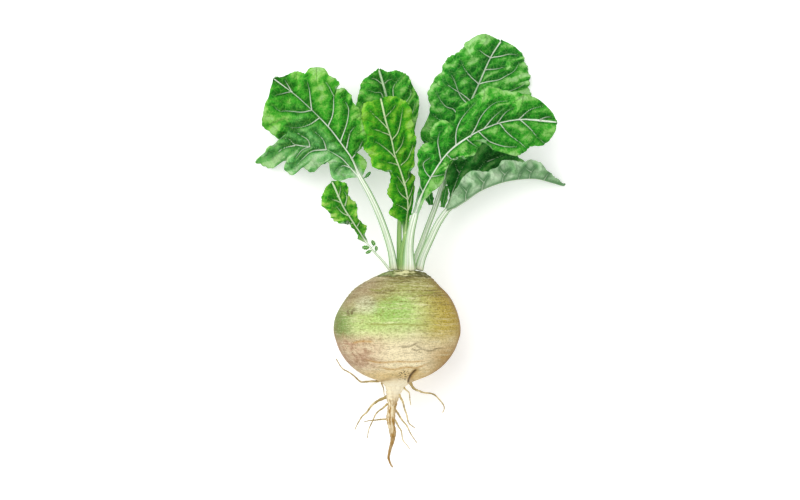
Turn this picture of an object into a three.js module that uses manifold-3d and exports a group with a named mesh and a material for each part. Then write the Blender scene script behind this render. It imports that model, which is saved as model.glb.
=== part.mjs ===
// A rutabaga pulled from the ground and laid on its side: a swollen root with its taproot and
// side roots, and seven leaves, each with a stalk and a blade.
// Millimetres, +Z up. The root's axis runs along +Y, from the taproot to the crown.
// The origin is on the small flat spot that the root rests on.

import * as THREE from 'three';
import { mergeVertices } from 'three/addons/utils/BufferGeometryUtils.js';
import Module from 'manifold-3d';

const wasm = await Module();
wasm.setup();

// Driving dimensions
const ROOT_RADIUS = 60;
const AXIS_HEIGHT = 58.5; // less than the radius, so that the underside is cut flat
const ROOT_SIDES = 36;
// The root leans to one side: a little from its middle up, and more at the crown.
// Each step is [from, to, sideways shift] with the distances along the axis.
const LEAN_STEPS = [[4, 30, 1.6], [36, 54, 5.9]];
const BLADE_THICKNESS = 1.6;
const BLADE_ROWS = 24;
const BLADE_COLUMNS = 4; // on each side of the midrib
const SMALL_ROWS = 6;
const SMALL_COLUMNS = 2;
const LEAFLET_THICKNESS = 1.0;
const FLOOR_CLEARANCE = 0.05; // between the lowest leaf edges and the surface
const STALK_SIDES = 8;
const STALK_ROWS = 10;
const HAIR_SIDES = 6;
const HAIR_ROWS = 9;

// Radius of the root at each distance along its axis, from the crown to the taproot's tip
const rootProfile = [
  [54, 0], [54, 13], [52.6, 17.5], [50.5, 22], [46, 29], [41, 36], [34, 44.3], [27, 49.8],
  [19, 54.2], [10, 57.8], [1, 59.8], [-6, 60], [-14, 57.8], [-22, 54.4], [-30, 49], [-37, 42.6],
  [-42.5, 35.6], [-46.5, 28.5], [-49.5, 21], [-52, 15], [-56, 9.8], [-61, 7.3], [-69, 5.4],
  [-78, 4.4], [-88, 4.2], [-96, 3.6], [-104, 2.5], [-112, 1.8], [-120, 1.3], [-127, 1.1],
  [-132, 0.9], [-133.5, 0],
];

// Sideways and upward shift of the taproot's centre at each distance along the axis
const taprootPath = [
  [-50, 0, 0], [-61, -3, 0], [-69, -4.2, 0.2], [-78, -5.4, 0.2], [-88, -6, 0], [-99, -4, -1],
  [-107, -4, -2.5], [-116, -6.6, -4], [-124, -8.2, -5.5], [-129, -6.6, -6.5], [-133.5, -4, -7],
];

// Side roots: points along each one and its radius at the start and at the end
const sideRoots = [
  { points: [[-18.8, -52.4, 58], [-28, -51.8, 57], [-37, -49.6, 57], [-44.5, -43.5, 57],
    [-52, -39.5, 58], [-57.5, -30, 58]], radii: [1.0, 0.5] },
  { points: [[-15.8, -54.3, 60], [-13.6, -57.5, 61], [-11.6, -64.5, 62]], radii: [0.7, 0.5] },
  { points: [[-10.6, -66.2, 58], [-19, -70.6, 57], [-25.5, -76.5, 55], [-30, -82, 54],
    [-35.5, -87.5, 54], [-40, -97.5, 53]], radii: [1.3, 0.55] },
  { points: [[-10.6, -73.6, 61], [-16, -78.5, 61], [-21.5, -86, 60], [-26.5, -95.5, 59],
    [-28, -105, 58]], radii: [0.9, 0.5] },
  { points: [[-11.2, -87, 57], [-18, -87, 56], [-24.5, -88.5, 55], [-31.5, -90, 54]],
    radii: [0.8, 0.5] },
  { points: [[14.8, -54.2, 59], [16.5, -59, 60], [22, -61.2, 60], [32, -63, 59],
    [40.5, -69.5, 58], [44.5, -75.5, 57], [43, -81, 57]], radii: [1.3, 0.55] },
  { points: [[7.9, -58.4, 63], [11, -63.5, 64], [13, -73.5, 63]], radii: [0.8, 0.5] },
  { points: [[3.6, -65.2, 61], [6.5, -74.5, 62], [10.5, -89, 61], [17, -95.5, 60]],
    radii: [0.9, 0.5] },
  { points: [[-0.6, -79.4, 56], [3.4, -85.5, 55], [8.5, -92.5, 54], [12.5, -101, 53],
    [19, -110, 52]], radii: [0.9, 0.5] },
  { points: [[-0.6, -89.6, 60], [3, -95.5, 60], [5.5, -106, 59], [12, -115.5, 58]],
    radii: [0.9, 0.5] },
];

// Leaves: the stalk and midrib as points in space, the two margins as seen from above.
// droop is how far each half falls for each square millimetre of its distance from the midrib.
// wave is the height and the number of the ripples along the margin.
const leaves = {
  leaf_left: {
    color: '#3f9a3c',
    stalk: {
      points: [[-3, 55, 60], [-5.5, 71, 59], [-11, 90, 57], [-18, 108.5, 55], [-26.5, 126.5, 54],
        [-34.4, 140.6, 53]],
      width: [3.6, 1.9],
      height: [2.9, 1.6],
    },
    midrib: [[-35, 141.7, 53], [-42.5, 158, 54], [-54, 174, 53], [-66, 189, 50], [-83, 206, 44],
      [-101, 222, 36], [-118, 234.5, 28]],
    left: [[-37.4, 140.8], [-45.5, 140.4], [-56.5, 137.5], [-64, 142.5], [-66, 154], [-73, 153],
      [-81.5, 146], [-89, 149.5], [-101, 143.5], [-109.5, 147], [-108, 157], [-122, 151],
      [-137, 156.5], [-125.5, 164.5], [-112, 171], [-115.5, 178.5], [-128.5, 189], [-128.5, 205],
      [-124, 216.5], [-119, 234.2]],
    right: [[-32.6, 143], [-28.5, 154], [-33, 161.5], [-40, 166.5], [-32, 171], [-27.5, 178.5],
      [-34, 202], [-41.5, 212.5], [-43.5, 221], [-52, 226], [-58.5, 224], [-55.5, 231.5],
      [-63.5, 238], [-70, 245.5], [-82, 245.5], [-88, 240], [-96.5, 242], [-109.5, 237],
      [-118.6, 235.4]],
    droop: [0.0098, 0.004],
    wave: [2.2, 5],
  },
  leaf_small: {
    color: '#79bb3a',
    stalk: {
      points: [[-6.5, 54.6, 69], [-14, 63, 70], [-22.5, 72, 70], [-28, 78.7, 70]],
      width: [1.3, 1.0],
      height: [1.3, 1.0],
    },
    midrib: [[-28.6, 79.7, 70], [-37, 92.5, 70], [-44.5, 104, 69], [-51, 114.5, 67],
      [-60.5, 136.5, 62]],
    left: [[-29.9, 79.2], [-38.5, 88], [-47, 98.5], [-59, 100], [-63.5, 107.5], [-71, 116],
      [-68, 129.5], [-61, 137.5]],
    right: [[-27.6, 80.8], [-29.5, 89], [-28.5, 95.5], [-36, 104], [-38, 116], [-44.5, 124.5],
      [-46.5, 134], [-54, 138], [-60, 137.7]],
    droop: [0.012, 0.012],
    wave: [1.0, 4],
  },
  leaf_back: {
    color: '#43a039',
    stalk: {
      points: [[2.5, 54.8, 49], [2, 82, 45], [2.9, 118.8, 40]],
      width: [2.6, 1.8],
      height: [2.4, 1.6],
    },
    midrib: [[3, 120, 40], [1, 153, 34], [-3, 186, 25], [-9.5, 217.5, 14], [-17, 246, 1.4]],
    left: [[0.8, 120.2], [-8.5, 148.5], [-27, 172], [-37, 197.5], [-39.5, 211.5], [-36, 226],
      [-33, 235.5], [-25.5, 242], [-17.8, 247.6]],
    right: [[5.2, 120.2], [11, 148.5], [14, 178], [20.5, 203], [20.5, 219], [15, 231.5],
      [10.5, 240], [0, 245.5], [-8.5, 244], [-15.6, 247.4]],
    droop: [0.003, 0.002],
    wave: [1.0, 4],
  },
  leaf_middle: {
    color: '#6cb233',
    stalk: {
      points: [[3.4, 54.9, 58.5], [4.5, 71, 62], [7.4, 84.9, 66]],
      width: [2.2, 1.8],
      height: [2.2, 1.6],
    },
    midrib: [[7.5, 86, 66.3], [9, 101, 67], [10.5, 113.5, 67.5], [8.5, 129.5, 67.5],
      [4, 145.5, 66.5], [-2, 162.5, 65], [-5.5, 178.5, 62], [-10.5, 195.5, 58], [-15, 216, 52]],
    left: [[5.4, 86.4], [4, 99], [-4, 104], [-8.5, 108.5], [-4, 117], [-9.5, 127.5],
      [-5.5, 143.5], [-9, 147.5], [-22.5, 151], [-25.5, 161.5], [-32, 169], [-28.5, 178.5],
      [-33, 193.5], [-32, 210], [-23.5, 213.5], [-15.4, 217]],
    right: [[9.6, 86.2], [12, 99], [13.4, 111.5], [17, 129.5], [17, 141.5], [11.5, 149],
      [17.5, 153], [16.8, 167], [18.4, 178.5], [15, 193.5], [14, 206], [6.5, 214.5],
      [-4.5, 218.5], [-14.2, 217.4]],
    droop: [0.006, 0.006],
    wave: [1.4, 5],
  },
  leaf_front: {
    color: '#46a83c',
    stalk: {
      points: [[11.2, 55.1, 69], [11, 73, 73], [13, 90, 76], [16.7, 104.8, 77.5]],
      width: [5.8, 2.8],
      height: [3.9, 2.3],
    },
    midrib: [[17, 106, 77.7], [22.5, 123, 78], [32, 141.5, 78], [44.5, 160.5, 77],
      [57.5, 173, 75], [76.5, 184.5, 71], [97.5, 193, 65], [121, 196.5, 57], [151, 194, 46]],
    left: [[14, 107], [19, 124], [21, 139], [19, 159.5], [23.5, 172], [34, 176.5], [31, 188],
      [42.5, 195.5], [52, 192.5], [56.5, 207], [69, 215.5], [85, 226], [107, 223],
      [128.5, 218.5], [144.5, 207], [151.6, 195.2]],
    right: [[20, 105.6], [28.5, 122], [43, 136], [47, 150], [57.5, 158.5], [73, 161.5],
      [79.5, 173], [84, 175.5], [91.5, 166.5], [115.5, 161.5], [126.5, 170], [140, 172],
      [149.5, 183.5], [151.8, 193]],
    droop: [0.0055, 0.006],
    wave: [2.0, 5],
  },
  leaf_tall: {
    color: '#3d9c3a',
    stalk: {
      points: [[13.6, 55.7, 49], [21, 73, 45], [28.5, 93.5, 41], [37, 116, 37], [42, 131.9, 34.2]],
      width: [3.2, 2.2],
      height: [3.0, 2.0],
    },
    midrib: [[42.5, 133, 34], [50, 159.5, 31], [60.5, 191, 26], [70, 213.5, 21],
      [79.5, 234.5, 14.5], [90, 258, 6.5], [99.4, 273, 1.4]],
    left: [[40, 133.6], [36, 158], [27, 173], [22, 184], [31, 206], [30, 226], [41.5, 244.5],
      [47, 255], [62.5, 265.5], [66, 273], [82, 280.5], [97.8, 275.2]],
    right: [[45, 132.8], [69, 153], [102, 186], [121, 205], [128.5, 218.5], [127.5, 231.5],
      [128.5, 241], [123, 254], [121, 261.5], [111.5, 269.5], [100.6, 275]],
    droop: [0.0062, 0.0045],
    wave: [1.6, 5],
  },
  leaf_folded: {
    color: '#2f7d3c',
    stalk: {
      points: [[20.4, 55, 59.5], [23.8, 66, 58], [31, 82, 56], [38.5, 97.5, 54], [46, 108.6, 52]],
      width: [3.9, 2.7],
      height: [3.4, 2.4],
    },
    midrib: [[47, 109.8, 52], [63.5, 121, 50], [80.5, 132.5, 46], [105, 141, 36],
      [130.5, 143.5, 22], [147.5, 140, 10], [160.5, 135.5, 3]],
    left: [[45.6, 112.4], [50, 125.5], [46.5, 142.5], [55, 159.5], [69, 172], [88, 181.5],
      [108.5, 171], [117, 160.5], [125.5, 154], [144.5, 146], [160, 137]],
    right: [[48.2, 112.6], [55.5, 130.5], [69, 147.5], [88, 147.5], [100, 158], [116, 157],
      [133, 158], [143.5, 149.5], [154, 142], [160.8, 137.2]],
    fold: [7, 13], // how far the lower and the upper half stand off the midrib
    droop: [0, 0],
    wave: [1.0, 4],
  },
};

// Small leaflets along the stalks: base, tip and half width
const leaflets = {
  leaflet_small_1: { base: [-27.2, 74.6, 70.8], tip: [-32.4, 75.4, 71], half: 2.0 },
  leaflet_small_2: { base: [-21.4, 77.5, 70.4], tip: [-23.4, 81.6, 71], half: 1.8 },
  leaflet_small_3: { base: [-24.9, 71.6, 70.4], tip: [-29.2, 70.2, 70.8], half: 1.6 },
  leaflet_small_4: { base: [-19.4, 72.6, 71.6], tip: [-19.6, 76.4, 71.8], half: 1.4 },
  leaflet_tall_left: { base: [31.4, 116, 38], tip: [30, 131, 41], half: 4.4 },
  leaflet_tall_right: { base: [43.9, 113.5, 38], tip: [46.4, 134, 41], half: 3.8 },
  leaflet_left: { base: [-29.4, 142, 53.4], tip: [-25.4, 146.4, 53], half: 1.7 },
};

const rootColor = '#c9bd86';
const hairColor = '#d5c49a';
const stalkColor = '#b9d6a0';
const leafletColor = '#4f9f3f';

function curveThrough(points) {
  return new THREE.CatmullRomCurve3(points.map((p) => new THREE.Vector3(p[0], p[1], p[2] ?? 0)));
}

function signedVolume(position, index) {
  const a = new THREE.Vector3();
  const b = new THREE.Vector3();
  const c = new THREE.Vector3();
  let total = 0;
  for (let i = 0; i < index.length; i += 3) {
    a.fromBufferAttribute(position, index[i]);
    b.fromBufferAttribute(position, index[i + 1]);
    c.fromBufferAttribute(position, index[i + 2]);
    total += a.dot(b.cross(c)) / 6;
  }
  return total;
}

// A closed solid through a row of closed rings, each with the same number of points
function loft(rings) {
  const sides = rings[0].length;
  const points = rings.flat();
  const index = [];
  for (let row = 0; row < rings.length - 1; row += 1) {
    for (let side = 0; side < sides; side += 1) {
      const next = (side + 1) % sides;
      const a = row * sides + side;
      const b = row * sides + next;
      index.push(a, b, b + sides, a, b + sides, a + sides);
    }
  }
  for (const row of [0, rings.length - 1]) {
    const centre = new THREE.Vector3();
    rings[row].forEach((p) => centre.addScaledVector(p, 1 / sides));
    points.push(centre);
    for (let side = 0; side < sides; side += 1) {
      const a = row * sides + side;
      const b = row * sides + ((side + 1) % sides);
      index.push(points.length - 1, ...(row === 0 ? [b, a] : [a, b]));
    }
  }
  const geometry = new THREE.BufferGeometry().setFromPoints(points);
  const outward = signedVolume(geometry.attributes.position, index) > 0;
  geometry.setIndex(outward ? index : index.reverse());
  geometry.computeVertexNormals();
  return geometry;
}

// A tapered rod along a curve, wide across and thinner in height
function rod(points, width, height, sides, rows) {
  const curve = curveThrough(points);
  const up = new THREE.Vector3(0, 0, 1);
  const rings = [];
  for (let row = 0; row <= rows; row += 1) {
    const t = row / rows;
    const centre = curve.getPoint(t);
    const across = curve.getTangent(t).cross(up).normalize();
    const lift = across.clone().cross(curve.getTangent(t)).normalize();
    const halfWidth = THREE.MathUtils.lerp(width[0], width[1], Math.sqrt(t));
    const halfHeight = THREE.MathUtils.lerp(height[0], height[1], Math.sqrt(t));
    const ring = [];
    for (let side = 0; side < sides; side += 1) {
      const angle = (side / sides) * 2 * Math.PI;
      ring.push(centre.clone()
        .addScaledVector(across, halfWidth * Math.cos(angle))
        .addScaledVector(lift, halfHeight * Math.sin(angle)));
    }
    rings.push(ring);
  }
  return loft(rings);
}

// A sheet of even thickness over a surface (u along it, v across it from -1 to 1)
function sheet(surface, thickness, rows, columns) {
  const step = 0.01;
  const rings = [];
  for (let row = 0; row <= rows; row += 1) {
    const u = row / rows;
    const top = [];
    const bottom = [];
    for (let column = -columns; column <= columns; column += 1) {
      const v = column / columns;
      const point = surface(u, v);
      const along = surface(Math.min(u + step, 1), v).sub(surface(Math.max(u - step, 0), v));
      const across = surface(u, Math.min(v + step, 1)).sub(surface(u, Math.max(v - step, -1)));
      const normal = across.cross(along).normalize();
      top.push(point.clone().addScaledVector(normal, thickness / 2));
      bottom.push(point.clone().addScaledVector(normal, -thickness / 2));
    }
    rings.push([...top, ...bottom.reverse()]);
  }
  return loft(rings);
}

// Half a leaf reaches from the midrib to its margin, falls with the square of the distance,
// ripples towards the margin and never goes below the surface that the rutabaga lies on.
function bladeSurface(leaf) {
  const midrib = curveThrough(leaf.midrib);
  const margins = [curveThrough(leaf.left), curveThrough(leaf.right)];
  const lowest = BLADE_THICKNESS / 2 + FLOOR_CLEARANCE;
  const [waveHeight, waveCount] = leaf.wave;
  return (u, v) => {
    const side = v < 0 ? 0 : 1;
    const reach = leaf.fold ? v * v : Math.abs(v);
    const middle = midrib.getPoint(u);
    const edge = margins[side].getPoint(u);
    const point = new THREE.Vector3(
      THREE.MathUtils.lerp(middle.x, edge.x, reach),
      THREE.MathUtils.lerp(middle.y, edge.y, reach),
      middle.z,
    );
    const distance = Math.hypot(edge.x - middle.x, edge.y - middle.y) * reach;
    const ends = Math.sin(Math.PI * u);
    point.z -= leaf.droop[side] * distance * distance;
    point.z += waveHeight * ends * v * v * Math.sin(2 * Math.PI * waveCount * u + side * Math.PI);
    if (leaf.fold) {
      const openness = 0.2 + 0.8 * Math.sqrt(Math.max(ends, 0));
      point.z += (side === 0 ? -leaf.fold[0] : leaf.fold[1]) * openness * Math.abs(v);
    }
    point.z = Math.max(point.z, lowest);
    return point;
  };
}

// A leaflet is a rounded blade between its base and its tip, widest past the middle
function leafletSurface({ base, tip, half }) {
  const from = new THREE.Vector3(...base);
  const to = new THREE.Vector3(...tip);
  const across = to.clone().sub(from).cross(new THREE.Vector3(0, 0, 1)).normalize();
  return (u, v) => {
    const spread = half * (0.25 + 0.75 * Math.sin(Math.PI * Math.min(u * 0.85 + 0.1, 1)));
    return from.clone().lerp(to, u)
      .addScaledVector(across, spread * v)
      .add(new THREE.Vector3(0, 0, -0.12 * half * v * v));
  };
}

function toManifold(geometry) {
  const bare = geometry.clone();
  bare.deleteAttribute('normal');
  bare.deleteAttribute('uv');
  const merged = mergeVertices(bare, 1e-4);
  return new wasm.Manifold(new wasm.Mesh({
    numProp: 3,
    vertProperties: new Float32Array(merged.attributes.position.array),
    triVerts: new Uint32Array(merged.index.array),
  }));
}

function fromManifold(solid) {
  const mesh = solid.getMesh();
  const geometry = new THREE.BufferGeometry();
  geometry.setAttribute('position', new THREE.BufferAttribute(mesh.vertProperties, 3));
  geometry.setIndex(new THREE.BufferAttribute(mesh.triVerts, 1));
  geometry.computeVertexNormals();
  return geometry;
}

// The swollen root and its taproot turn about the Y axis; the crown and the taproot are then
// shifted sideways, and the underside is cut flat.
function rootGeometry() {
  const profile = rootProfile.map(([along, radius]) => new THREE.Vector2(radius, along)).reverse();
  const geometry = new THREE.LatheGeometry(profile, ROOT_SIDES);
  const position = geometry.attributes.position;
  const path = curveThrough(taprootPath.map(([along, x, z]) => [along, x, z]));
  const [pathStart] = taprootPath[0];
  for (let i = 0; i < position.count; i += 1) {
    const along = position.getY(i);
    let shiftX = 0;
    for (const [from, to, shift] of LEAN_STEPS) {
      shiftX += shift * THREE.MathUtils.smoothstep(along, from, to);
    }
    let shiftZ = AXIS_HEIGHT;
    if (along < pathStart) {
      const shift = shiftAt(path, along);
      shiftX += shift.y;
      shiftZ += shift.z;
    }
    position.setX(i, position.getX(i) + shiftX);
    position.setZ(i, position.getZ(i) + shiftZ);
  }
  const surface = new THREE.BoxGeometry(4 * ROOT_RADIUS, 8 * ROOT_RADIUS, 2 * ROOT_RADIUS);
  surface.translate(0, 0, -ROOT_RADIUS);
  return fromManifold(toManifold(geometry).subtract(toManifold(surface)));
}

// The point of the taproot's path that lies at a distance along the axis
function shiftAt(path, along) {
  let low = 0;
  let high = 1;
  for (let i = 0; i < 20; i += 1) {
    const middle = (low + high) / 2;
    if (path.getPoint(middle).x > along) low = middle;
    else high = middle;
  }
  return path.getPoint(low);
}

function skin(color, roughness) {
  return new THREE.MeshStandardMaterial({ color, roughness, metalness: 0 });
}

function addPiece(parent, name, geometry, material) {
  const mesh = new THREE.Mesh(geometry, material);
  mesh.name = name;
  parent.add(mesh);
}

const rutabaga = new THREE.Group();
addPiece(rutabaga, 'root', rootGeometry(), skin(rootColor, 0.6));

sideRoots.forEach(({ points, radii }, i) => {
  const geometry = rod(points, radii, radii, HAIR_SIDES, HAIR_ROWS);
  addPiece(rutabaga, `side_root_${i + 1}`, geometry, skin(hairColor, 0.8));
});

for (const [name, leaf] of Object.entries(leaves)) {
  const { points, width, height } = leaf.stalk;
  const stalk = rod(points, width, height, STALK_SIDES, STALK_ROWS);
  addPiece(rutabaga, `${name}_stalk`, stalk, skin(stalkColor, 0.5));
  const blade = sheet(bladeSurface(leaf), BLADE_THICKNESS, BLADE_ROWS, BLADE_COLUMNS);
  addPiece(rutabaga, `${name}_blade`, blade, skin(leaf.color, 0.55));
}

for (const [name, leaflet] of Object.entries(leaflets)) {
  const blade = sheet(leafletSurface(leaflet), LEAFLET_THICKNESS, SMALL_ROWS, SMALL_COLUMNS);
  addPiece(rutabaga, name, blade, skin(leafletColor, 0.55));
}

export default rutabaga;
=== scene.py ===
# A rutabaga laid on its side: root, taproot, side roots and seven leaves
import math
import bpy
import numpy as np
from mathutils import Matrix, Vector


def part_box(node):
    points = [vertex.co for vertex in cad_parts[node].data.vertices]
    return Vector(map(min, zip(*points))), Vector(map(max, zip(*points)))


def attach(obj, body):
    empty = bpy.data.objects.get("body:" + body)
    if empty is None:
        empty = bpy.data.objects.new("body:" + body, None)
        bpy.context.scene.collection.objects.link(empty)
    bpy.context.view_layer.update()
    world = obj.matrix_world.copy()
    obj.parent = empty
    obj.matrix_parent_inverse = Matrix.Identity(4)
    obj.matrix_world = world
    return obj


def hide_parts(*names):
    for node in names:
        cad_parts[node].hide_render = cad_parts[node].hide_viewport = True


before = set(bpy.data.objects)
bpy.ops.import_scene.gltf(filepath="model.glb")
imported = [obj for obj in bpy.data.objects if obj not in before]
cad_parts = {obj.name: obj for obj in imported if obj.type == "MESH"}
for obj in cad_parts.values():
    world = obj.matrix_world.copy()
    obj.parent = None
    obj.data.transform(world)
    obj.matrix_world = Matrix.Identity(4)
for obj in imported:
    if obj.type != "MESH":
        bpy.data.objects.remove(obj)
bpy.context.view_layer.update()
mm = 0.001
print("frame loaded")


# Catmull-Rom curve: 0.5 (2b + (c - a) s + (2a - 5b + 4c - d) s^2 + (3b - a - 3c + d) s^3)
def curveAt(points, t):
    p = np.asarray(points, float)
    last = len(p) - 1
    padded = np.vstack([2 * p[0] - p[1], p, 2 * p[-1] - p[-2]])
    x = np.clip(t, 0, 1) * last
    i = np.minimum(x.astype(int), last - 1)
    s = (x - i)[..., None]
    a, b, c, d = padded[i], padded[i + 1], padded[i + 2], padded[i + 3]
    return 0.5 * (2 * b + (c - a) * s + (2 * a - 5 * b + 4 * c - d) * s ** 2
                  + (3 * b - a - 3 * c + d) * s ** 3)


# Smooth step: 3t^2 - 2t^3 between two edges
def smooth(low, high, x):
    t = np.clip((x - low) / (high - low), 0, 1)
    return t * t * (3 - 2 * t)


# Unit vectors
def unit(v):
    return v / np.maximum(np.linalg.norm(v, axis=-1, keepdims=True), 1e-12)


# Soft noise: a sum of sine waves in seeded directions, about -1 to 1
def sineNoise(points, size, seed, waves=7):
    rng = np.random.default_rng(seed)
    directions = unit(rng.normal(size=(waves, points.shape[-1])))
    phases = rng.uniform(0, 2 * math.pi, waves)
    pitch = rng.uniform(0.6, 1.5, waves) * 2 * math.pi / size
    total = np.sin(points @ (directions * pitch[:, None]).T + phases).sum(-1)
    return total / math.sqrt(waves)


# Faces of a grid of rows and columns, with the columns joined round when closed
def gridFaces(rows, columns, closed, start=0, flip=False):
    last = columns if closed else columns - 1
    r, c = np.meshgrid(np.arange(rows - 1), np.arange(last), indexing="ij")
    a = start + r * columns + c
    b = start + r * columns + (c + 1) % columns
    quads = np.stack([a, b, b + columns, a + columns], -1).reshape(-1, 4)
    return quads[:, ::-1] if flip else quads


# Triangles that close both ends of a tube: a fan round each of the two middle points, which
# come after the points of the rings
def endFans(rows, sides):
    here = np.arange(sides)
    ahead = (here + 1) % sides
    base = (rows - 1) * sides
    first = np.stack([np.full(sides, rows * sides), ahead, here], -1)
    final = np.stack([np.full(sides, rows * sides + 1), base + here, base + ahead], -1)
    return np.vstack([first, final])


# A mesh object from points in mm, quads, triangles and named point values
def makeMesh(name, points, quads, triangles=(), values=None):
    quads = np.asarray(quads, int).reshape(-1, 4)
    triangles = np.asarray(triangles, int).reshape(-1, 3)
    mesh = bpy.data.meshes.new(name)
    mesh.vertices.add(len(points))
    mesh.vertices.foreach_set("co", (np.asarray(points) * mm).astype(np.float32).ravel())
    corners = np.concatenate([quads.ravel(), triangles.ravel()]).astype(np.int32)
    sizes = np.concatenate([np.full(len(quads), 4), np.full(len(triangles), 3)])
    starts = np.concatenate([[0], np.cumsum(sizes)[:-1]]).astype(np.int32)
    mesh.loops.add(len(corners))
    mesh.loops.foreach_set("vertex_index", corners)
    mesh.polygons.add(len(sizes))
    mesh.polygons.foreach_set("loop_start", starts)
    mesh.update(calc_edges=True)
    mesh.validate()
    mesh.polygons.foreach_set("use_smooth", np.ones(len(mesh.polygons), bool))
    for key, value in (values or {}).items():
        layer = mesh.attributes.new(key, "FLOAT", "POINT")
        layer.data.foreach_set("value", np.asarray(value, np.float32).ravel())
    piece = bpy.data.objects.new(name, mesh)
    bpy.context.scene.collection.objects.link(piece)
    return piece


# Moves and stretches points so that their box is the CAD node's box
def fitToNode(points, node):
    low, high = (np.array(c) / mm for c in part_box(node))
    ownLow, ownHigh = points.min(0), points.max(0)
    return low + (points - ownLow) * (high - low) / (ownHigh - ownLow)


# Finishes a piece: gives it its look, hangs it on the root body and hides the CAD node it stands
# for
def finishPiece(piece, node, look):
    piece.data.materials.append(look)
    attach(piece, "root")
    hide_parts(node)


# A tapered rod along a curve. The section is an ellipse, half width and half height at each
# row, times a relief of (angle, share of length). Both ends close in a fan.
def rodPiece(points, widths, heights, sides, rows, relief, bend=0, seed=0):
    t = np.linspace(0, 1, rows)
    centre = curveAt(points, t)
    if bend:
        wander = np.stack([sineNoise(centre + 50 * k, 14, seed + k) for k in range(3)], -1)
        centre = centre + wander * bend * np.sin(math.pi * t)[:, None] ** 0.5
    tangent = unit(np.gradient(centre, axis=0))
    across = unit(np.cross(tangent, [0, 0, 1.0]))
    lift = unit(np.cross(across, tangent))
    angle = np.linspace(0, 2 * math.pi, sides, endpoint=False)
    halfWidth = np.interp(t, np.linspace(0, 1, len(widths)), widths)[:, None]
    halfHeight = np.interp(t, np.linspace(0, 1, len(heights)), heights)[:, None]
    scale = relief(angle[None, :], t[:, None])
    ring = (centre[:, None]
            + across[:, None] * (halfWidth * scale * np.cos(angle))[..., None]
            + lift[:, None] * (halfHeight * scale * np.sin(angle))[..., None])
    verts = np.vstack([ring.reshape(-1, 3), centre[0], centre[-1]])
    quads = gridFaces(rows, sides, True)
    along = np.append(np.repeat(t, sides), [0, 1])
    around = np.append(np.tile(np.sin(angle), rows), [0, 0])
    flank = np.append(np.tile(np.cos(angle), rows), [0, 0])
    values = {"along": along, "top": around, "flank": flank}
    return verts, quads, endFans(rows, sides), values


# sRGB hex to linear: ((c + 0.055) / 1.055) ^ 2.4
def colour(text):
    parts = [int(text[i:i + 2], 16) / 255 for i in (1, 3, 5)]
    linear = [c / 12.92 if c <= 0.04045 else ((c + 0.055) / 1.055) ** 2.4 for c in parts]
    return (*linear, 1.0)


# A shader value: arithmetic on it adds Math nodes to its look
class Value:
    def __init__(self, look, socket):
        self.look = look
        self.socket = socket

    def math(self, operation, *others, clamp=False):
        return self.look.node("ShaderNodeMath", {"operation": operation, "use_clamp": clamp},
                              dict(enumerate([self, *others])))

    def __add__(self, other):
        return self.math("ADD", other)

    def __radd__(self, other):
        return self.math("ADD", other)

    def __sub__(self, other):
        return self.math("SUBTRACT", other)

    def __rsub__(self, other):
        return self.look.constant(other).math("SUBTRACT", self)

    def __mul__(self, other):
        return self.math("MULTIPLY", other)

    def __rmul__(self, other):
        return self.math("MULTIPLY", other)

    def __truediv__(self, other):
        return self.math("DIVIDE", other)

    def __pow__(self, other):
        return self.math("POWER", other)

    def held(self):
        return self.math("MULTIPLY", 1.0, clamp=True)

    # Smooth step from 0 at low to 1 at high
    def step(self, low, high):
        return self.look.node("ShaderNodeMapRange", {"interpolation_type": "SMOOTHSTEP"},
                              {"Value": self, "From Min": low, "From Max": high})


# A node material made of Values. Its tints are the colours that it calls by name.
class Look:
    def __init__(self, name, tints=None):
        self.tints = tints or {}
        self.material = bpy.data.materials.new(name)
        self.material.use_nodes = True
        self.tree = self.material.node_tree
        self.tree.nodes.clear()
        self.place = self.node("ShaderNodeTexCoord", output="Object")

    def node(self, kind, settings=None, inputs=None, output=0):
        made = self.tree.nodes.new(kind)
        for key, value in (settings or {}).items():
            setattr(made, key, value)
        for key, value in (inputs or {}).items():
            if isinstance(value, Value):
                self.tree.links.new(value.socket, made.inputs[key])
            else:
                made.inputs[key].default_value = value
        return None if output is None else Value(self, made.outputs[output])

    def constant(self, number):
        made = self.node("ShaderNodeValue")
        made.socket.default_value = number
        return made

    def attribute(self, name):
        return self.node("ShaderNodeAttribute", {"attribute_name": name}, output="Fac")

    def parts(self, vector):
        made = self.node("ShaderNodeSeparateXYZ", None, {0: vector})
        return [Value(self, out) for out in made.socket.node.outputs]

    def joined(self, x, y, z):
        return self.node("ShaderNodeCombineXYZ", None, {0: x, 1: y, 2: z})

    def noise(self, scale, detail=4.0, vector=None, roughness=0.55, warp=0.0):
        return self.node("ShaderNodeTexNoise", None,
                         {"Vector": vector or self.place, "Scale": scale, "Detail": detail,
                          "Roughness": roughness, "Distortion": warp})

    def cracks(self, scale, vector):
        return self.node("ShaderNodeTexVoronoi", {"feature": "DISTANCE_TO_EDGE"},
                         {"Vector": vector, "Scale": scale})

    def spots(self, scale):
        return self.node("ShaderNodeTexVoronoi", {"feature": "F1"},
                         {"Vector": self.place, "Scale": scale})

    # A colour is a Value, the name of a tint or a hex text
    def tint(self, given):
        return given if isinstance(given, Value) else colour(self.tints.get(given, given))

    def mix(self, factor, a, b):
        return self.node("ShaderNodeMix", {"data_type": "RGBA"},
                         {6: self.tint(a), 7: self.tint(b), 0: factor}, output=2)

    def bump(self, height, distance):
        return self.node("ShaderNodeBump", None, {"Height": height, "Distance": distance})

    def finish(self, base, roughness, normal, **sockets):
        inputs = {"Base Color": base, "Roughness": roughness, "Normal": normal}
        inputs.update({key.replace("_", " "): value for key, value in sockets.items()})
        surface = self.node("ShaderNodeBsdfPrincipled", None, inputs)
        self.node("ShaderNodeOutputMaterial", None, {"Surface": surface}, output=None)
        return self.material


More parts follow.
